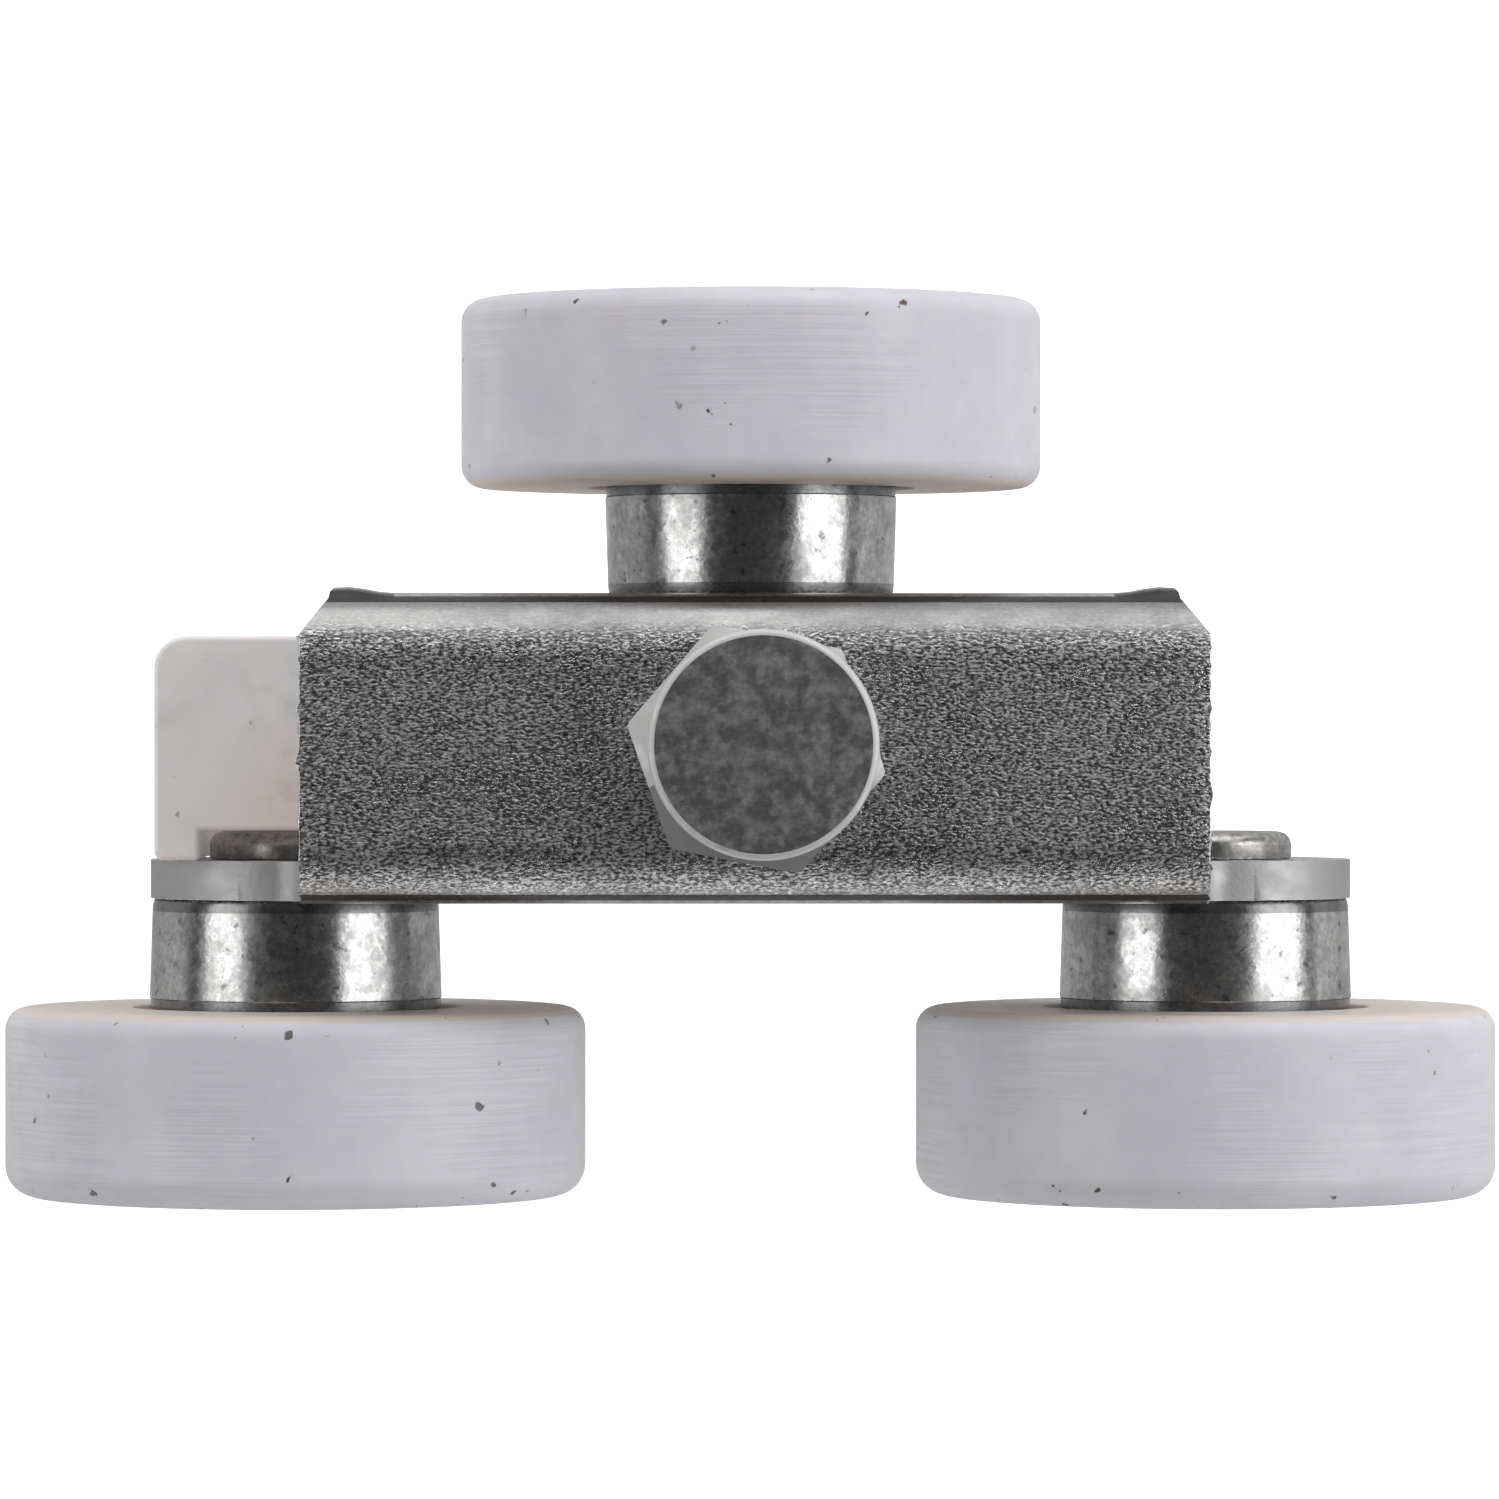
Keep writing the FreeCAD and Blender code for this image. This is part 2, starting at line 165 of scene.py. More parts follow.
def round_rims(bm: bmesh.types.BMesh, rims: Iterable[Point], size: float, segments: int = 3) -> None:
    """Rounds every rim given by (radius, height)."""
    for radius, height in rims:
        round_edges(bm, rim_edges(bm, radius, height), size, segments)


def sharp_edges(bm: bmesh.types.BMesh, angle: float) -> list[bmesh.types.BMEdge]:
    """The edges where two faces meet at more than an angle."""
    return [edge for edge in bm.edges if edge.is_manifold and edge.calc_face_angle(0) > angle]


def rows(start: float, end: float, step: float) -> list[float]:
    """Evenly spaced heights from start to end, both included."""
    count = max(1, round(abs(end - start) / step))
    return [start + (end - start) * n / count for n in range(count + 1)]


def copy_of_node(node: str) -> bmesh.types.BMesh:
    """A merged copy of a CAD node's mesh, its flat faces whole again."""
    bm = bmesh.new()
    bm.from_mesh(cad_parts[node].data)
    bm.transform(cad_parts[node].matrix_world)
    bmesh.ops.remove_doubles(bm, verts=bm.verts, dist=MERGE)
    bmesh.ops.dissolve_limit(bm, angle_limit=math.radians(0.5), verts=bm.verts, edges=bm.edges)
    face_mark(bm, "edge")
    return bm


@dataclass(frozen=True)
class Hexagon:
    """A hexagon milled on a lathed blank, each end turned to a round face with a lip and a cone."""

    flats: float
    turn: float
    face: float
    lip: float = 0.0
    fall: float = 0.0
    least_drop: float = 0.02 * MM
    shift: Point = (0.0, 0.0)
    # darkening of the chamfer facets; the two lowest get more as painted shade
    high_soot: float = 0.15
    low_soot: float = 0.6
    cone: float = math.tan(math.radians(30))

    @property
    def corner(self) -> float:
        """The radius of the corners."""
        return self.flats / math.sqrt(3)

    def facet_soot(self, angle: float) -> float:
        """How dark the facet of the nearest corner is painted: the two lowest are darkest, their extra
        darkness painted shade.
        """
        nearest = self.turn + round((angle - self.turn) / (math.pi / 3)) * math.pi / 3
        return self.low_soot if math.sin(nearest) < -0.5 else self.high_soot

    def end_rings(self, height: float, way: int, steps: int = 5) -> list[Point]:
        """The blank's outline at one end, from the wall to the flat face.

        Args:
            height: where the end is.
            way: 1 for an end that faces up, -1 for one that faces down.
            steps: how many rings make the rounded lip.
        """
        rings = [(self.corner, height)]
        for step in range(steps, 0, -1) if self.lip else ():
            turn = math.pi / 2 * step / steps
            drop = self.fall * (1 - math.cos(turn))
            rings.append((self.face + self.lip * math.sin(turn), height - way * drop))
        return [*rings, (self.face, height)]

    def mill(self, bm: bmesh.types.BMesh, ends: dict[float, int]) -> None:
        """Shapes the blank, whose wall is at the corner radius.

        Args:
            bm: the blank.
            ends: the height of each turned end, with the way that it faces.
        """
        smooth, dark_and_shade = face_mark(bm, "cut"), face_mark(bm, "dark_and_shade")
        for face in bm.faces:
            middle = face.calc_center_median()
            at_end = any(abs(middle.z - height) < self.fall + SAME_PLACE for height in ends)
            if self.lip and at_end and self.face < middle.xy.length:
                face[smooth] = 1.0
                on_lip = middle.xy.length < self.face + self.lip
                # the chamfer facets are darkened, the two lowest more as painted shade
                face[dark_and_shade] = 0.0 if on_lip else self.facet_soot(math.atan2(middle.y, middle.x))
        for vert in bm.verts:
            across = vert.co.xy.length
            end = next((height for height in ends if abs(vert.co.z - height) < self.fall + SAME_PLACE), None)
            if across > self.corner - SAME_PLACE:
                angle = math.atan2(vert.co.y, vert.co.x)
                from_flat = (angle - self.turn) % (math.pi / 3) - math.pi / 6
                vert.co.xy *= self.flats / 2 / math.cos(from_flat) / across
                if end is not None:
                    beyond = (vert.co.xy - Vector(self.shift)).length - self.face - self.lip
                    vert.co.z -= ends[end] * (self.fall + max(self.least_drop, beyond * self.cone))
            elif end is not None and across > self.face - SAME_PLACE:
                vert.co.xy += Vector(self.shift)


@dataclass(frozen=True)
class Thread:
    """A right-hand unified thread between two heights, tapering out at its upper end."""

    pitch: float = 1.27 * MM
    depth: float = 0.69 * MM
    rows_per_turn: int = 12
    fade: float = 1.6 * MM
    inside_share: float = 0.4

    def heights(self, low: float, high: float) -> list[float]:
        """The heights of the mesh rows that the thread needs."""
        return rows(low, high, self.pitch / self.rows_per_turn)

    def groove(self, angle: float, height: float) -> float:
        """How deep the groove is at a place, from 0 on the crest to 1 at the root."""
        phase = (height / self.pitch - angle / FULL_TURN) % 1.0
        flank = abs(phase - 0.5) * 2
        return min(1.0, max(0.0, 1.15 * (1 - flank) - 0.06))

    def cut(self, bm: bmesh.types.BMesh, radius: float, low: float, high: float, inside: bool) -> None:
        """Cuts the thread into a lathed wall of the given radius."""
        for vert in bm.verts:
            across = vert.co.xy.length
            if abs(across - radius) > SAME_PLACE or not low - MERGE <= vert.co.z <= high + MERGE:
                continue
            angle = math.atan2(vert.co.y, vert.co.x)
            deep = self.depth * self.groove(angle, vert.co.z)
            if inside:
                new = across + deep * self.inside_share
            else:
                new = across - deep * min(1.0, (high - vert.co.z) / self.fade)
            vert.co.xy *= new / across


# ------------------------------------------------------------------ node graphs
class Graph:
    """A material's or a group's nodes, added one call at a time."""

    def __init__(self, tree: bpy.types.NodeTree) -> None:
        """Keeps the tree that nodes are added to."""
        self.tree = tree

    def add(self, kind: str, *, inputs: dict | None = None, **settings) -> bpy.types.Node:
        """Adds a node.

        Args:
            kind: the node's type name without "ShaderNode".
            inputs: values or output sockets for the node's inputs, by name or number.
            **settings: properties of the node itself.

        Returns:
            The new node.
        """
        node = self.tree.nodes.new(f"ShaderNode{kind}")
        for name, setting in settings.items():
            setattr(node, name, setting)
        for key, given in (inputs or {}).items():
            if isinstance(given, bpy.types.NodeSocket):
                self.tree.links.new(given, node.inputs[key])
            else:
                node.inputs[key].default_value = given
        return node

    def noise(self, where: bpy.types.NodeSocket, scale: float, detail: float = 2.0,
              roughness: float = 0.5) -> bpy.types.NodeSocket:
        """A noise value between 0 and 1."""
        settings = {"Vector": where, "Scale": scale, "Detail": detail, "Roughness": roughness}
        return self.add("TexNoise", inputs=settings).outputs["Fac"]

    def ramp(self, value: bpy.types.NodeSocket, low: float, high: float, start: float = 0.0,
             end: float = 1.0) -> bpy.types.NodeSocket:
        """Maps the range low..high of a value smoothly to start..end."""
        settings = {"Value": value, "From Min": low, "From Max": high, "To Min": start, "To Max": end}
        return self.add("MapRange", inputs=settings, interpolation_type="SMOOTHSTEP").outputs["Result"]

    def math(self, operation: str, *values: bpy.types.NodeSocket | float) -> bpy.types.NodeSocket:
        """The result of one sum."""
        return self.add("Math", inputs=dict(enumerate(values)), operation=operation).outputs[0]

    def mix(self, factor: bpy.types.NodeSocket | float, first: object, second: object,
            blend: str = "MIX") -> bpy.types.NodeSocket:
        """A mix of two colours."""
        settings = {0: factor, 6: first, 7: second}
        node = self.add("Mix", inputs=settings, data_type="RGBA", blend_type=blend)
        return node.outputs[2]

    def shaded(self, tone: bpy.types.NodeSocket, shade: bpy.types.NodeSocket) -> bpy.types.NodeSocket:
        """A colour with all its channels multiplied by one value."""
        grey = self.add("CombineColor", inputs={channel: shade for channel in range(3)}).outputs[0]
        return self.mix(1.0, tone, grey, "MULTIPLY")

    def mark(self, name: str) -> bpy.types.NodeSocket:
        """A face layer of the mesh."""
        return self.add("Attribute", attribute_name=name, attribute_type="GEOMETRY").outputs["Fac"]

    def place(self, stretch: Place = (1, 1, 1)) -> bpy.types.NodeSocket:
        """Object coordinates, stretched along the axes."""
        where = self.add("TexCoord").outputs["Object"]
        return self.add("Mapping", inputs={"Vector": where, "Scale": stretch}).outputs["Vector"]

    def group(self, tree: bpy.types.NodeTree, **inputs) -> bpy.types.Node:
        """Adds a node group with its inputs given by name, spaces written as underscores."""
        node = self.tree.nodes.new("ShaderNodeGroup")
        node.node_tree = tree
        for key, given in inputs.items():
            socket = node.inputs[key.replace("_", " ")]
            if isinstance(given, bpy.types.NodeSocket):
                self.tree.links.new(given, socket)
            else:
                socket.default_value = given
        return node


def new_group(name: str, inputs: dict[str, str], outputs: dict[str, str]) -> tuple[Graph, bpy.types.Node,
                                                                                  bpy.types.Node]:
    """Makes an empty node group.

    Args:
        name: the group's name.
        inputs: socket names with their types, "Float", "Vector" or "Color".
        outputs: the same for what the group puts out.

    Returns:
        The group's graph and its input and output nodes.
    """
    tree = bpy.data.node_groups.new(name, "ShaderNodeTree")
    for sockets, way in ((inputs, "INPUT"), (outputs, "OUTPUT")):
        for socket, kind in sockets.items():
            tree.interface.new_socket(socket, in_out=way, socket_type=f"NodeSocket{kind}")
    return Graph(tree), tree.nodes.new("NodeGroupInput"), tree.nodes.new("NodeGroupOutput")


class Effects:
    """Surface effects that several finishes share, each a node group that is built once."""

    def __init__(self) -> None:
        """Builds the groups."""
        self.mottle = self._mottle()
        self.wear_and_glint = self._wear_and_glint()
        self.scratches = self._scratches()
        self.relief = self._relief()

    @staticmethod
    def _mottle() -> bpy.types.NodeTree:
        """Two sizes of cloudy patches as one mask."""
        sockets = {"Vector": "Vector", "Scale": "Float"}
        graph, taken, given = new_group("mottle", sockets, {"Mask": "Float"})
        large = graph.noise(taken.outputs["Vector"], 1.0, 3.0, 0.6)
        graph.tree.links.new(taken.outputs["Scale"], large.node.inputs["Scale"])
        finer = graph.math("MULTIPLY", taken.outputs["Scale"], 3.7)
        small = graph.noise(taken.outputs["Vector"], 1.0, 4.0, 0.65)
        graph.tree.links.new(finer, small.node.inputs["Scale"])
        both = graph.math("MULTIPLY_ADD", small, 0.45, graph.math("MULTIPLY", large, 0.55))
        graph.tree.links.new(graph.ramp(both, 0.36, 0.64), given.inputs["Mask"])
        return graph.tree

    @staticmethod
    def _wear_and_glint() -> bpy.types.NodeTree:
        """Marked edges, broken up by noise: real wear, and on the bracket a painted highlight line."""
        sockets = {"Vector": "Vector", "Amount": "Float"}
        graph, taken, given = new_group("edge_wear_and_glint", sockets, {"Mask": "Float"})
        edge = graph.mark("edge")
        broken = graph.ramp(graph.noise(taken.outputs["Vector"], 2600.0, 3.0, 0.7), 0.38, 0.58)
        worn_and_glint = graph.math("MULTIPLY", graph.math("MULTIPLY", edge, broken), taken.outputs["Amount"])
        graph.tree.links.new(worn_and_glint, given.inputs["Mask"])
        return graph.tree

    @staticmethod
    def _scratches() -> bpy.types.NodeTree:
        """Thin marks from stretched noise; the vector given sets their direction."""
        sockets = {"Vector": "Vector", "Width": "Float"}
        graph, taken, given = new_group("scratches", sockets, {"Mask": "Float"})
        lines = graph.noise(taken.outputs["Vector"], 1.0, 2.0, 0.55)
        off = graph.math("ABSOLUTE", graph.math("SUBTRACT", lines, 0.5))
        near = graph.add("MapRange", inputs={"Value": off, "From Min": 0.0, "To Min": 1.0, "To Max": 0.0})
        graph.tree.links.new(taken.outputs["Width"], near.inputs["From Max"])
        graph.tree.links.new(near.outputs["Result"], given.inputs["Mask"])
        return graph.tree

    @staticmethod
    def _relief() -> bpy.types.NodeTree:
        """Coarse and fine bumps as one normal."""
        sockets = {"Vector": "Vector", "Coarse Scale": "Float", "Fine Scale": "Float",
                   "Coarse Height": "Float", "Fine Height": "Float"}
        graph, taken, given = new_group("relief", sockets, {"Normal": "Vector", "Fine": "Float"})
        normal = None
        for size in ("Coarse", "Fine"):
            height = graph.noise(taken.outputs["Vector"], 1.0, 3.0, 0.6)
            graph.tree.links.new(taken.outputs[f"{size} Scale"], height.node.inputs["Scale"])
            bump = graph.add("Bump", inputs={"Height": height, "Strength": 1.0})
            graph.tree.links.new(taken.outputs[f"{size} Height"], bump.inputs["Distance"])
            if normal is not None:
                graph.tree.links.new(normal, bump.inputs["Normal"])
            normal = bump.outputs["Normal"]
        graph.tree.links.new(normal, given.inputs["Normal"])
        graph.tree.links.new(height, given.inputs["Fine"])
        return graph.tree


def rgba(colour: Colour) -> tuple[float, float, float, float]:
    """A colour with full alpha."""
    return (*colour, 1.0)


@dataclass(frozen=True)
class MetalFinish:
    """Plated or plain steel: patchy tone, a grain in relief, fine scratches, worn edges that also carry a
    painted highlight line, and darkened faces that include painted shade.

    Scales are in waves per metre, heights in metres.
    """

    name: str
    dark: Colour
    light: Colour
    worn_and_glint: Colour
    roughness: float
    roughness_spread: float = 0.12
    patch_scale: float = 350.0
    grain_scale: float = 5200.0
    grain_height: float = 0.01 * MM
    wave_scale: float = 700.0
    wave_height: float = 0.02 * MM
    grain_tone: float = 0.3
    stretch: Place = (1.0, 1.0, 1.0)
    scratch: Place = (300.0, 9000.0, 9000.0)
    scratch_width: float = 0.008
    wear_and_glint: float = 0.7
    plain: Colour = (0.45, 0.45, 0.45)
    plain_roughness: float = 0.5
    # the colour of pits, and of painted shade on marked faces
    soot: Colour = (0.08, 0.08, 0.08)
    pits: float = 0.0
    pit_scale: float = 2600.0
    patch_from: float = 0.0
    bend_from: float = 0.0
    bend_tone: float = 0.6
    bend_offset: float = 1.2 * MM
    bend_border: float = 1.0 * MM
    bend_speckle: float = 1.6 * MM
    bend_height: Point = (9.0 * MM, 11.0 * MM)

    def bend_mask(self, graph: Graph) -> bpy.types.NodeSocket | float:
        """Where bending has drawn the sheet smooth, with a speckled border.

        Args:
            graph: the material's nodes.

        Returns:
            The mask, or 0 for a finish without bends.
        """
        if not self.bend_from:
            return 0.0
        axes = graph.add("SeparateXYZ", inputs={0: graph.place()}).outputs
        other_side = graph.math("MULTIPLY_ADD", axes["Y"], -1.0, -self.bend_offset)
        across = graph.math("MAXIMUM", axes["Y"], other_side)
        speckle = graph.noise(graph.place(self.stretch), self.grain_scale * 0.6, 2.0)
        across = graph.math("MULTIPLY_ADD", speckle, self.bend_speckle, across)
        near = graph.ramp(across, self.bend_from, self.bend_from + self.bend_border)
        return graph.math("MULTIPLY", graph.ramp(axes["Z"], *self.bend_height), near)

    def build(self, effects: Effects) -> bpy.types.Material:
        """Makes the material."""
        material = bpy.data.materials.new(self.name)
        material.use_nodes = True
        graph = Graph(material.node_tree)
        shader = material.node_tree.nodes["Principled BSDF"]
        where = graph.place(self.stretch)
        patches = graph.group(effects.mottle, Vector=where, Scale=self.patch_scale).outputs["Mask"]
        plain, dark_and_shade_mark = graph.mark("cut"), graph.mark("dark_and_shade")
        bend = self.bend_mask(graph)
        eased = graph.math("MAXIMUM", graph.math("MULTIPLY", plain, 0.8), bend)
        rolled = graph.math("SUBTRACT", 1.0, graph.math("MULTIPLY", eased, 0.9))
        relief = graph.group(effects.relief, Vector=where, Coarse_Scale=self.wave_scale,
                             Fine_Scale=self.grain_scale,
                             Coarse_Height=graph.math("MULTIPLY", rolled, self.wave_height),
                             Fine_Height=graph.math("MULTIPLY", rolled, self.grain_height))
        lines = graph.group(effects.scratches, Vector=graph.place(self.scratch),
                            Width=self.scratch_width).outputs["Mask"]
        worn_and_glint = graph.group(effects.wear_and_glint, Vector=graph.place(), Amount=self.wear_and_glint).outputs["Mask"]
        fine = relief.outputs["Fine"]

        if self.patch_from:
            patches = graph.noise(where, self.patch_scale, 4.0, 0.6)
            patches = graph.ramp(patches, self.patch_from, self.patch_from + 0.3)
        tone = graph.mix(patches, rgba(self.dark), rgba(self.light))
        grain = graph.ramp(fine, 0.40, 0.64, -self.grain_tone, self.grain_tone)
        grain = graph.math("MULTIPLY_ADD", grain, rolled, 1.0)
        if self.bend_from:
            grain = graph.math("MULTIPLY", grain, graph.ramp(bend, 0.0, 1.0, 1.0, self.bend_tone))
        tone = graph.shaded(tone, grain)
        tone = graph.mix(graph.math("MULTIPLY", lines, 0.35), tone, rgba(self.worn_and_glint))
        pitted = graph.ramp(graph.noise(where, self.pit_scale, 3.0, 0.6), 0.58, 0.70, 0.0, self.pits)
        tone = graph.mix(pitted, tone, rgba(self.soot))
        tone = graph.mix(plain, tone, rgba(self.plain))
        # painted shade: marked faces are mixed towards the dark colour
        tone = graph.mix(dark_and_shade_mark, tone, rgba(self.soot))
        # worn edges, and the painted highlight line on the bracket, in the worn colour
        tone = graph.mix(worn_and_glint, tone, rgba(self.worn_and_glint))
        links = material.node_tree.links
        links.new(tone, shader.inputs["Base Color"])
        rough = graph.ramp(patches, 0.0, 1.0, self.roughness + self.roughness_spread, self.roughness)
        rough = graph.math("SUBTRACT", rough, graph.math("MULTIPLY", worn_and_glint, 0.08))
        rough = graph.math("MULTIPLY_ADD", plain, self.plain_roughness - self.roughness, rough)
        links.new(rough, shader.inputs["Roughness"])
        links.new(relief.outputs["Normal"], shader.inputs["Normal"])
        shader.inputs["Metallic"].default_value = 1.0
        return material


@dataclass(frozen=True)
class NylonFinish:
    """Milky nylon that lets light in, with turning marks, a warm-tinted painted shade, small nicks and,
    where set, a painted glow.
    """

    name: str
    pale: Colour
    deep: Colour
    # painted shade: the warm colour that shaded faces are tinted towards
    painted_shade_tint: Colour
    nick: Colour
    roughness: float = 0.42
    marks: Place = (90.0, 9000.0, 90.0)
    mark_height: float = 0.004 * MM
    cloud_scale: float = 120.0
    nick_scale: float = 1400.0
    scatter: float = 0.35
    scatter_depth: float = 1.6 * MM
    painted_shade_at: Place = (0.0, 0.0, 0.0)
    painted_shade_reach: float = 0.0
    # painted light: emission in the nylon's own colour
    painted_glow: float = 0.0

    def build(self, effects: Effects) -> bpy.types.Material:
        """Makes the material."""
        material = bpy.data.materials.new(self.name)
        material.use_nodes = True
        graph = Graph(material.node_tree)
        shader = material.node_tree.nodes["Principled BSDF"]
        plain = graph.place()
        clouds = graph.group(effects.mottle, Vector=plain, Scale=self.cloud_scale).outputs["Mask"]
        turning = graph.noise(graph.place(self.marks), 1.0, 3.0, 0.7)
        where_marked = graph.ramp(graph.noise(plain, 140.0, 1.0), 0.42, 0.62)
        nicks = graph.noise(plain, self.nick_scale, 2.0, 0.4)
        nick_zone = graph.ramp(graph.noise(plain, 230.0, 2.0), 0.50, 0.66)
        edge = graph.mark("edge")
        nick_limit = graph.math("MULTIPLY_ADD", edge, 0.9, nick_zone)
        nick_mask = graph.math("MULTIPLY", graph.ramp(nicks, 0.715, 0.745),
                               graph.math("MINIMUM", nick_limit, 1.0))
        # painted shade: marked faces, and faces near a given point, are tinted warm and darker
        painted_shade = graph.mark("painted_shade_tint")
        if self.painted_shade_reach:
            away = graph.add("VectorMath", inputs={0: plain, 1: self.painted_shade_at}, operation="DISTANCE")
            near = graph.ramp(away.outputs["Value"], 0.0, self.painted_shade_reach, 0.9, 0.0)
            painted_shade = graph.math("MAXIMUM", painted_shade, near)

        tone = graph.mix(clouds, rgba(self.deep), rgba(self.pale))
        tone = graph.mix(painted_shade, tone, rgba(self.painted_shade_tint))
        streak = graph.math("MULTIPLY", graph.ramp(turning, 0.35, 0.65, -0.06, 0.06), where_marked)
        tone = graph.shaded(tone, graph.math("ADD", streak, 1.0))
        tone = graph.mix(nick_mask, tone, rgba(self.nick))
        links = material.node_tree.links
        links.new(tone, shader.inputs["Base Color"])
        rough = graph.ramp(clouds, 0.0, 1.0, self.roughness + 0.06, self.roughness)
        links.new(rough, shader.inputs["Roughness"])
        height = graph.math("MULTIPLY", turning, where_marked)
        height = graph.math("MULTIPLY_ADD", nick_mask, -6.0, height)
        bump = graph.add("Bump", inputs={"Height": height, "Distance": self.mark_height, "Strength": 1.0})
        links.new(bump.outputs["Normal"], shader.inputs["Normal"])
        shader.inputs["Subsurface Weight"].default_value = self.scatter
        shader.inputs["Subsurface Radius"].default_value = (1.0, 0.75, 0.62)
        shader.inputs["Subsurface Scale"].default_value = self.scatter_depth
        # painted light: the nylon glows in its own colour
        links.new(tone, shader.inputs["Emission Color"])
        shader.inputs["Emission Strength"].default_value = self.painted_glow
        shader.inputs["IOR"].default_value = 1.53
        return material


class Finishes:
    """Every material of the object, by the record's material slot."""

    def __init__(self) -> None:
        """Builds the shared effects and the materials."""
        effects = Effects()
        self.sheet = MetalFinish(
            name="zinc_sheet", dark=(0.50, 0.50, 0.495), light=(0.70, 0.70, 0.69), worn_and_glint=(0.85, 0.85, 0.83),
            roughness=0.24, grain_scale=8200.0, grain_height=0.06 * MM, wave_scale=1300.0,
            wave_height=0.02 * MM, grain_tone=0.8, stretch=(0.62, 1.25, 1.0), patch_scale=240.0,
            plain=(0.48, 0.48, 0.48), soot=(0.05, 0.05, 0.05), bend_from=5.2 * MM,
        ).build(effects)
        self.bright = MetalFinish(
            name="zinc_bright", dark=(0.38, 0.38, 0.375), light=(0.55, 0.55, 0.54), worn_and_glint=(0.72, 0.72, 0.7),
            roughness=0.19, grain_scale=3800.0, grain_height=0.006 * MM, wave_scale=900.0,
            wave_height=0.01 * MM, grain_tone=0.16, patch_scale=420.0, pits=0.9, pit_scale=1900.0,
            soot=(0.14, 0.14, 0.14), wear_and_glint=0.3,
        ).build(effects)
        self.bolt = MetalFinish(
            name="zinc_bolt", dark=(0.21, 0.21, 0.21), light=(0.62, 0.62, 0.61), worn_and_glint=(0.62, 0.61, 0.6),
            roughness=0.44, grain_scale=2600.0, grain_height=0.008 * MM, wave_scale=1100.0,
            wave_height=0.03 * MM, grain_tone=0.16, patch_scale=1000.0, patch_from=0.42, wear_and_glint=0.9,
            plain=(0.78, 0.78, 0.77), plain_roughness=0.6,
        ).build(effects)
        self.rivet = MetalFinish(
            name="rivet_steel", dark=(0.34, 0.33, 0.32), light=(0.50, 0.49, 0.48), worn_and_glint=(0.62, 0.61, 0.6),
            roughness=0.3, grain_scale=3600.0, grain_height=0.006 * MM, wave_height=0.01 * MM,
            grain_tone=0.18,
        ).build(effects)
        self.bearing = MetalFinish(
            name="bearing_steel", dark=(0.55, 0.55, 0.56), light=(0.74, 0.74, 0.75), worn_and_glint=(0.8, 0.8, 0.8),
            roughness=0.14, roughness_spread=0.06, grain_height=0.001 * MM, wave_height=0.002 * MM,
            grain_tone=0.06,
        ).build(effects)
        # the wheels' warm tint is painted shade on their inner faces
        self.nylon = NylonFinish(
            name="white_nylon", pale=(0.83, 0.82, 0.88), deep=(0.76, 0.75, 0.81), painted_shade_tint=(0.86, 0.74, 0.66),
            nick=(0.16, 0.13, 0.12),
        ).build(effects)
        # painted shade: the bumper is tinted warm near the web end and rivet slot; painted light: it glows
        # faintly
        self.bumper = NylonFinish(
            name="bumper_nylon", pale=(0.96, 0.92, 0.92), deep=(0.90, 0.85, 0.85), painted_shade_tint=(0.93, 0.78, 0.68),
            nick=(0.5, 0.45, 0.42), marks=(900.0, 900.0, 60.0), scatter=0.2, scatter_depth=1.0 * MM,
            painted_shade_at=(-17.5 * MM, -3.5 * MM, 6.0 * MM), painted_shade_reach=7.0 * MM,
            painted_glow=0.12,
        ).build(effects)


# ------------------------------------------------------------------ finished pieces
@dataclass(frozen=True)
class Piece:
    """How a finished mesh becomes an object of the scene."""

    node: str
    body: str
    slot: str
    material: bpy.types.Material

    def finish(self, bm: bmesh.types.BMesh, placement: Matrix | None = None) -> None:
        """Turns the mesh into an object at the origin that stands for its CAD node.

        Args:
            bm: the mesh, which is freed.
            placement: moves the mesh to its place on the object.
        """
        if placement is not None:
            bm.transform(placement)
        name = f"{self.node}_detailed"
        mesh = bpy.data.meshes.new(name)
        bm.normal_update()
        bm.to_mesh(mesh)
        bm.free()
        mesh.materials.append(self.material)
        mesh.shade_smooth()
        mesh.set_sharp_from_angle(angle=SMOOTH_ANGLE)
        obj = bpy.data.objects.new(name, mesh)
        bpy.context.scene.collection.objects.link(obj)
        even = obj.modifiers.new("even_normals", "WEIGHTED_NORMAL")
        even.keep_sharp = True
        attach(obj, self.body)
        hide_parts(self.node)
        log.info("%s: %d faces, rides on %s", name, len(mesh.polygons), self.body)


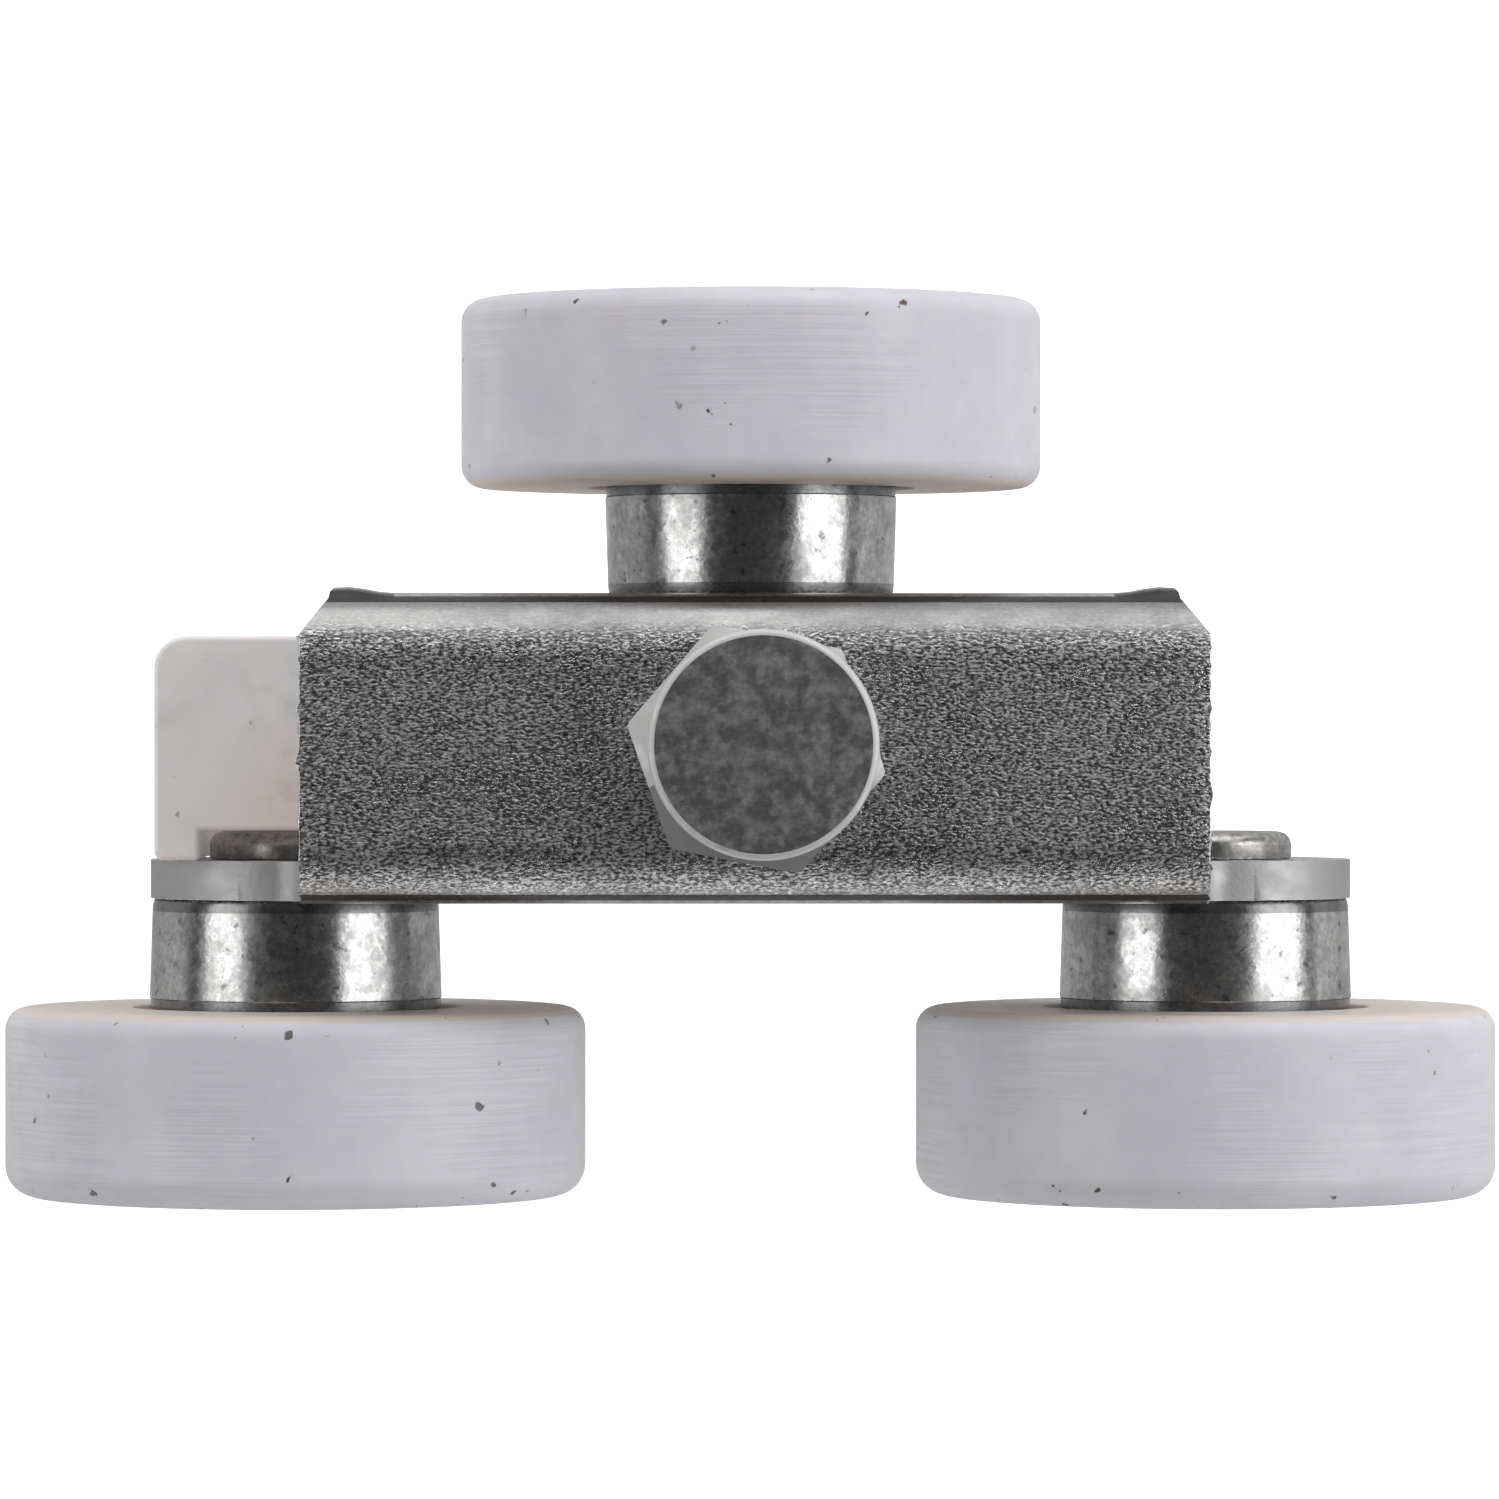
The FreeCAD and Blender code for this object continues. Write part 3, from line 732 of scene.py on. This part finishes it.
# ------------------------------------------------------------------ wheels
@dataclass
class WheelSet:
    """One wheel with its bearing, collar and rivet, lathed about Z and laid on its axle."""

    side: Side
    finishes: Finishes
    tread_round: float = 1.0 * MM
    pair_outer_round: float = 1.38 * MM
    recess_radius: float = 7.1 * MM
    recess_depth: float = 0.55 * MM
    bore_radius: float = 6.7 * MM
    face_dish: float = 0.04 * MM
    collar_seat: float = 0.55 * MM
    collar_ease: float = 0.16 * MM
    collar_band: float = 0.46 * MM
    rivet_head: float = 1.2 * MM
    axle_radius: float = 2.03 * MM
    small_round: float = 0.12 * MM
    painted_shade_depth: float = 0.35 * MM
    nicked: float = 1.1 * MM

    def build(self) -> None:
        """Builds every piece of the wheel set."""
        self.wheel()
        self.collar()
        self.rivet()
        self.shield()
        for kind in ("outer_race", "inner_race", "bearing_balls"):
            self.dress_node(kind)

    def piece(self, kind: str, body: str, slot: str, material: bpy.types.Material) -> Piece:
        """A piece of this wheel set."""
        return Piece(self.side.node(kind), body, slot, material)

    def wheel(self) -> None:
        """The nylon wheel: a rounded tread, slightly dished faces, a recess about the bearing and painted
        shade on its inner face.
        """
        low, high = self.side.reach("nylon_wheel")
        tread = self.side.radius("nylon_wheel")
        dished = (self.recess_radius + tread) / 2
        outer_round = self.tread_round if self.side is Side.SINGLE else self.pair_outer_round
        profile = [
            (self.recess_radius, low), (dished, low + self.face_dish), (tread - self.tread_round, low),
            (tread, low), (tread, high), (tread - outer_round, high),
            (dished, high - self.face_dish), (self.recess_radius, high),
            (self.recess_radius, high - self.recess_depth), (self.bore_radius, high - self.recess_depth),
            (self.bore_radius, low + self.recess_depth), (self.recess_radius, low + self.recess_depth),
        ]
        bm = lathe(profile)
        round_rims(bm, [(tread, low)], self.tread_round * 0.97, 8)
        round_rims(bm, [(tread, high)], outer_round * 0.97, 8)
        round_rims(bm, [(self.recess_radius, low), (self.recess_radius, high)], self.small_round)
        painted_shade_tint, edge = face_mark(bm, "painted_shade_tint"), face_mark(bm, "edge")
        for face in bm.faces:
            middle = face.calc_center_median()
            # painted shade: faces within a short depth of the inner face, towards the collar, get the warm
            # shade tint
            face[painted_shade_tint] = 0.8 if middle.z - low < self.painted_shade_depth else 0.0
            off_rim = min(middle.z - low, high - middle.z)
            by_rim = middle.xy.length > tread - self.tread_round and off_rim < self.nicked
            face[edge] = 1.0 if by_rim else 0.0
        piece = self.piece("nylon_wheel", f"wheel_{self.side.label}", "white_nylon", self.finishes.nylon)
        piece.finish(bm, self.side.placement())

    def collar(self) -> None:
        """The bright spacer between flange and bearing: eased at the flange, a dull band at the wheel."""
        low, high = self.side.reach("spacer_collar")
        wide = self.side.radius("spacer_collar")
        narrow = wide - 0.12 * MM
        groove = 0.05 * MM
        eased = [(narrow - self.collar_ease * (1 - math.sin(turn)),
                  low + self.collar_seat * (1 - math.cos(turn)))
                 for turn in rows(0, math.pi / 2, math.pi / 14)]
        bm = lathe([
            (self.axle_radius, low), *eased, (wide, high - self.collar_band - groove),
            (wide - groove, high - self.collar_band), (wide - groove, high - groove),
            (wide - 2 * groove, high), (self.axle_radius, high),
        ])
        dull = face_mark(bm, "dark_and_shade")
        for face in bm.faces:
            height = face.calc_center_median().z
            at_end = height > high - self.collar_band or height < low + self.collar_seat * 0.9
            face[dull] = 0.75 if at_end else 0.0
        piece = self.piece("spacer_collar", "carriage", "zinc_bright", self.finishes.bright)
        piece.finish(bm, self.side.placement())

    def rivet(self) -> None:
        """The axle rivet: a rounded head in the channel and a pressed, dimpled tail outside."""
        start, end = self.side.reach("axle_rivet")
        head = self.side.radius("axle_rivet")
        seat = start + self.rivet_head
        tail, tail_start = 3.1 * MM, end - 0.8 * MM
        dimple = 1.1 * MM
        shank = 2.0 * MM
        bm = lathe([
            (0, start), (head, start), (head, seat), (shank, seat), (shank, tail_start),
            (tail, tail_start), (tail, end), (dimple * 1.5, end), (dimple, end - 0.35 * MM),
            (0, end - 0.42 * MM),
        ], closed=False)
        round_rims(bm, [(head, start), (tail, end)], 0.55 * MM, 3)
        round_rims(bm, [(head, seat), (tail, tail_start)], self.small_round, 2)
        piece = self.piece("axle_rivet", "carriage", "rivet_steel", self.finishes.rivet)
        piece.finish(bm, self.side.placement())

    def shield(self) -> None:
        """The dust shield: a thin pressed ring with a step and a turned-in inner lip."""
        low, high = self.side.reach("dust_shield")
        outer = self.side.radius("dust_shield")
        inner = 3.6 * MM
        step, lip = 0.14 * MM, 0.5 * MM
        middle = (inner + outer) / 2
        bm = lathe([
            (inner, low), (outer, low), (outer, high), (middle + lip, high), (middle, high - step),
            (inner + lip, high - step), (inner, low + 0.12 * MM),
        ])
        round_rims(bm, [(outer, high), (middle + lip, high)], 0.1 * MM, 2)
        piece = self.piece("dust_shield", f"wheel_{self.side.label}", "zinc_bright", self.finishes.bright)
        piece.finish(bm, self.side.placement())

    def dress_node(self, kind: str) -> None:
        """Gives a hidden bearing node its steel."""
        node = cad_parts[self.side.node(kind)]
        node.data.materials.clear()
        node.data.materials.append(self.finishes.bearing)
        log.info("%s: dressed", node.name)


# ------------------------------------------------------------------ carriage
@dataclass
class Carriage:
    """The folded bracket and the nylon bumper in its left end."""

    finishes: Finishes
    sheared_round: float = 0.13 * MM
    die_roll: float = 0.38 * MM
    end_round: float = 0.26 * MM
    end_lip: float = 0.4 * MM
    web_low: float = 13.9 * MM
    web_end: float = 19.2 * MM
    flange_end: float = 17.85 * MM
    bend_start: float = 11.3 * MM
    ear_reach: float = 6.0 * MM
    end_strip: float = 0.9 * MM
    end_depth: float = 3.0 * MM
    swell_step: float = 0.65 * MM
    swell_fade: float = 6.0 * MM
    ragged_step: float = 0.26 * MM
    ragged: float = 0.32 * MM
    ragged_width: float = 0.2 * MM
    ragged_waves: Place = (100.0, 1900.0, 1900.0)
    # insets from the flange of the painted shade strip and the painted highlight line along each bend
    painted_shade_inset: float = 0.42 * MM
    painted_highlight_inset: float = 0.16 * MM
    painted_highlight_end: float = 0.06 * MM
    bulge: float = 0.26 * MM
    bulge_length: float = 2.6 * MM
    bumper_round: float = 0.22 * MM

    def build(self) -> None:
        """Builds both pieces."""
        self.bracket()
        self.bumper()

    def bracket(self) -> None:
        """The folded sheet with rounded, slightly ragged sheared ends and bends that swell at their ends."""
        lo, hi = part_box("bracket")
        bm = copy_of_node("bracket")
        rolled = [edge for edge in sharp_edges(bm, math.radians(60))
                  if all(vert.co.y < lo.y + SAME_PLACE and vert.co.z < self.ear_reach
                         for vert in edge.verts)]
        round_edges(bm, rolled, self.die_roll, 4)
        ends = [edge for edge in sharp_edges(bm, math.radians(60))
                if all(vert.co.z > self.web_low and abs(vert.co.x) > self.web_end - SAME_PLACE
                       for vert in edge.verts)]
        round_edges(bm, ends, self.end_round, 4)
        round_edges(bm, sharp_edges(bm, math.radians(40)), self.sheared_round, 3)
        self.add_rows(bm, lo, hi)
        self.mark_faces(bm, hi)
        for vert in bm.verts:
            x, y, z = vert.co
            if abs(abs(x) - self.web_end) < self.ragged_width and z > self.bend_start - self.end_depth:
                wave = noise.noise(vert.co * Vector(self.ragged_waves))
                vert.co.x += math.copysign(min(0.0, wave) * self.ragged, x)
            along = (abs(x) - (self.flange_end - self.bulge_length)) / self.bulge_length
            if y > hi.y - self.painted_highlight_inset - SAME_PLACE and 0 < along < 1.2:
                upward = max(0.0, 1 - abs(z - self.bend_start) / self.swell_fade)
                vert.co.y += self.bulge * math.sin(min(along, 1.0) * math.pi * 0.62) ** 2 * upward
        Piece("bracket", "carriage", "zinc_sheet", self.finishes.sheet).finish(bm)

    def add_rows(self, bm: bmesh.types.BMesh, lo: Vector, hi: Vector) -> None:
        """Cuts rows of edges where the ends are ragged, the bends swell and the painted shade strip and
        painted highlight line run.
        """
        for side in (-1, 1):
            for at in rows(self.flange_end - self.bulge_length, self.flange_end, self.swell_step):
                self.slice(bm, (side * at, 0, 0), (1, 0, 0), lambda face: face.calc_center_median().y > 0)
            self.slice(bm, (side * (self.web_end - self.end_strip), 0, 0), (1, 0, 0), lambda face: True)
            for at in rows(lo.y, hi.y, self.ragged_step)[1:-1]:
                self.slice(bm, (0, at, 0), (0, 1, 0),
                           lambda face: side * face.calc_center_median().x > self.web_end - self.end_strip
                           and face.calc_center_median().z > self.bend_start - self.end_depth)
            # rows that bound the painted shade strip and the painted highlight line
            for inset in (self.painted_shade_inset, self.painted_highlight_inset, self.painted_highlight_end):
                self.slice(bm, (0, side * (hi.y - inset), 0), (0, 1, 0),
                           lambda face: face.calc_center_median().z > self.bend_start)

    def mark_faces(self, bm: bmesh.types.BMesh, hi: Vector) -> None:
        """Marks the sheared faces, the painted shade strip along each bend and the painted highlight line
        beyond it.
        """
        cut, dark_and_shade, edge = (face_mark(bm, name) for name in ("cut", "dark_and_shade", "edge"))
        for face in bm.faces:
            middle, normal = face.calc_center_median(), face.normal
            inset = hi.y - abs(middle.y)
            swollen = middle.y > 0 and abs(middle.x) > self.flange_end - self.bulge_length
            on_ear = middle.y < 0 and middle.z < self.bend_start - 0.5 * MM and abs(normal.y) < 0.9
            face[cut] = 1.0 if on_ear or abs(normal.x) > 0.95 else 0.0
            at_web_end = abs(middle.x) > self.web_end - self.end_lip and middle.z > self.web_low
            if at_web_end and 0.25 < abs(normal.x) < 0.97:
                face[edge] = 0.9
            # painted shade: a dark strip along each bend, over all of each swollen end; painted highlight: a
            # bright line beyond it, marked as edge
            if middle.z > self.bend_start and normal.z > 0 and self.painted_highlight_end < inset < self.painted_shade_inset:
                dark = swollen or inset > self.painted_highlight_inset
                face[dark_and_shade] = 0.9 if dark else 0.0
                face[edge] = 0.0 if dark else 0.7

    @staticmethod
    def slice(bm: bmesh.types.BMesh, at: tuple, normal: tuple,
              wanted: Callable[[bmesh.types.BMFace], bool]) -> None:
        """Cuts the wanted faces along a plane, keeping both halves."""
        faces = [face for face in bm.faces if wanted(face)]
        edges = {edge for face in faces for edge in face.edges}
        verts = {vert for face in faces for vert in face.verts}
        bmesh.ops.bisect_plane(bm, geom=[*verts, *edges, *faces], dist=MERGE, plane_co=at, plane_no=normal)

    def bumper(self) -> None:
        """The nylon block with soft moulded edges."""
        bm = copy_of_node("nylon_bumper")
        round_edges(bm, sharp_edges(bm, math.radians(50)), self.bumper_round, 3)
        Piece("nylon_bumper", "carriage", "white_nylon", self.finishes.bumper).finish(bm)


# ------------------------------------------------------------------ hanger bolt
@dataclass
class HangerBolt:
    """The bolt, the ring that keeps it in the web, and the washer and nut for the door plate."""

    finishes: Finishes
    thread: Thread = field(default_factory=Thread)
    head: Hexagon = Hexagon(flats=9.525 * MM, turn=math.radians(-10.7), face=4.56 * MM, lip=0.28 * MM,
                            fall=0.26 * MM, least_drop=0.1 * MM, shift=(0.3 * MM, 0.18 * MM))
    head_height: float = 4.0 * MM
    thread_top: float = -7.0 * MM
    point: float = 0.8 * MM
    nut_hexagon: Hexagon = Hexagon(flats=11.11 * MM, turn=math.radians(12.0), face=5.35 * MM)
    nut_bore: float = 3.25 * MM

    def build(self) -> None:
        """Builds every piece of the bolt."""
        self.bolt()
        self.ring()
        self.washer()
        self.nut()

    def bolt(self) -> None:
        """The bolt: a chamfered hexagon head, a plain shank and a rolled thread with a pointed end."""
        lo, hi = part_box("hanger_bolt")
        under = hi.z - self.head_height
        shank, end = 3.175 * MM, 3.1 * MM
        wall = [(end, z) for z in self.thread.heights(lo.z + self.point, self.thread_top)]
        bm = lathe([
            (0, lo.z), (end - self.point, lo.z), *wall, (shank, self.thread_top + 0.2 * MM),
            (shank, under), (self.head.corner, under), *self.head.end_rings(hi.z, 1), (0, hi.z),
        ], steps=144, closed=False)
        self.thread.cut(bm, end, lo.z + self.point, self.thread_top, inside=False)
        self.head.mill(bm, {hi.z: 1})
        Piece("hanger_bolt", "bolt", "zinc_bolt", self.finishes.bolt).finish(bm)

    def ring(self) -> None:
        """The flat spring ring pressed on the shank under the web."""
        lo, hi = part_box("retaining_ring")
        outer = (hi.x - lo.x) / 2
        bm = lathe([(3.2 * MM, lo.z), (outer, lo.z), (outer, hi.z), (3.2 * MM, hi.z)])
        round_rims(bm, [(outer, lo.z), (outer, hi.z)], 0.3 * MM, 4)
        Piece("retaining_ring", "bolt", "zinc_bolt", self.finishes.bolt).finish(bm)

    def washer(self) -> None:
        """The split lock washer with its rolled edges."""
        bm = copy_of_node("lock_washer")
        round_edges(bm, sharp_edges(bm, math.radians(60)), 0.14 * MM, 2)
        Piece("lock_washer", "washer", "zinc_bolt", self.finishes.bright).finish(bm)

    def nut(self) -> None:
        """The hexagon nut, chamfered at both ends, with a threaded bore."""
        lo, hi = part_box("adjusting_nut")
        sink = 0.5 * MM
        bore = [(self.nut_bore, z) for z in self.thread.heights(lo.z + sink, hi.z - sink)]
        bm = lathe([
            *bore, (self.nut_bore + sink, hi.z), *reversed(self.nut_hexagon.end_rings(hi.z, 1)),
            *self.nut_hexagon.end_rings(lo.z, -1), (self.nut_bore + sink, lo.z),
        ], steps=144)
        self.thread.cut(bm, self.nut_bore, lo.z + sink, hi.z - sink, inside=True)
        self.nut_hexagon.mill(bm, {hi.z: 1, lo.z: -1})
        Piece("adjusting_nut", "nut", "zinc_bolt", self.finishes.bolt).finish(bm)


# ------------------------------------------------------------------ stage
@dataclass
class Studio:
    """A pale floor, soft boxes on all four sides, and a long lens straight above."""

    camera_at: Place = (-0.0045, 0.0015, 0.350)
    look_at: Place = (-0.00006, -0.0001, 0.0)
    lens: float = 191.6
    floor_size: float = 2.4
    floor_white: float = 0.9
    world_tone: float = 0.05

    def build(self) -> None:
        """Builds the floor, the lights and the camera."""
        self.floor()
        self.lights()
        self.camera()

    def floor(self) -> None:
        """The pale floor under the lowest point of the object."""
        bm = bmesh.new()
        bmesh.ops.create_grid(bm, x_segments=1, y_segments=1, size=self.floor_size / 2)
        bm.transform(Matrix.Translation((0, 0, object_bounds()[0].z)))
        mesh = bpy.data.meshes.new("floor")
        bm.to_mesh(mesh)
        bm.free()
        material = bpy.data.materials.new("pale_floor")
        material.use_nodes = True
        shader = material.node_tree.nodes["Principled BSDF"]
        shader.inputs["Base Color"].default_value = rgba((self.floor_white,) * 3)
        shader.inputs["Roughness"].default_value = 0.9
        shader.inputs["Emission Color"].default_value = rgba((1.0, 1.0, 1.0))
        seen = Graph(material.node_tree).add("LightPath").outputs["Is Camera Ray"]
        material.node_tree.links.new(seen, shader.inputs["Emission Strength"])
        mesh.materials.append(material)
        floor = bpy.data.objects.new("floor", mesh)
        bpy.context.scene.collection.objects.link(floor)
        floor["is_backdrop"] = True

    @staticmethod
    def soft_box(name: str, at: Place, size: Point, power: float) -> None:
        """One soft box that points at the object.

        Args:
            name: the light's name.
            at: where its middle is.
            size: its width and height in metres.
            power: its power in watts.
        """
        light = bpy.data.lights.new(name, "AREA")
        light.shape = "RECTANGLE"
        light.size, light.size_y = size
        light.energy = power
        obj = bpy.data.objects.new(name, light)
        obj.location = at
        obj.rotation_mode = "QUATERNION"
        obj.rotation_quaternion = Vector(at).to_track_quat("Z", "Y")
        obj.visible_camera = False
        bpy.context.scene.collection.objects.link(obj)

    def lights(self) -> None:
        """Soft boxes at the left, the right, behind and low in front; the space overhead stays dim."""
        self.soft_box("left_box", (-0.42, 0.02, 0.27), (0.5, 0.28), 0.9)
        self.soft_box("right_box", (0.42, 0.02, 0.26), (0.5, 0.36), 1.45)
        self.soft_box("back_box", (0.0, 0.46, 0.15), (0.7, 0.50), 1.6)
        self.soft_box("front_box", (0.0, -0.5, -0.02), (0.8, 0.2), 1.0)
        world = bpy.data.worlds.new("dim_room")
        world.use_nodes = True
        background = world.node_tree.nodes["Background"]
        background.inputs["Color"].default_value = rgba((self.world_tone,) * 3)
        bpy.context.scene.world = world

    def camera(self) -> None:
        """The camera, straight above and a touch towards the single wheel."""
        data = bpy.data.cameras.new("camera")
        data.sensor_width = 36.0
        data.lens = self.lens
        data.clip_start, data.clip_end = 0.01, 10.0
        camera = bpy.data.objects.new("camera", data)
        camera.location = self.camera_at
        camera.rotation_mode = "QUATERNION"
        away = (Vector(self.camera_at) - Vector(self.look_at)).normalized()
        upward = away.cross(Vector((1, 0, 0))).normalized()
        axes = Matrix((upward.cross(away), upward, away))
        camera.rotation_quaternion = axes.transposed().to_quaternion()
        bpy.context.scene.collection.objects.link(camera)
        bpy.context.scene.camera = camera
        bpy.context.scene.view_settings.view_transform = "Standard"


def main() -> None:
    """Builds the whole scene in order."""
    logging.basicConfig(level=logging.INFO, format="%(message)s")
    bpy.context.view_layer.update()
    finishes = Finishes()
    Carriage(finishes).build()
    for side in Side:
        WheelSet(side, finishes).build()
    HangerBolt(finishes).build()
    Studio().build()


if __name__ == "__main__":
    main()
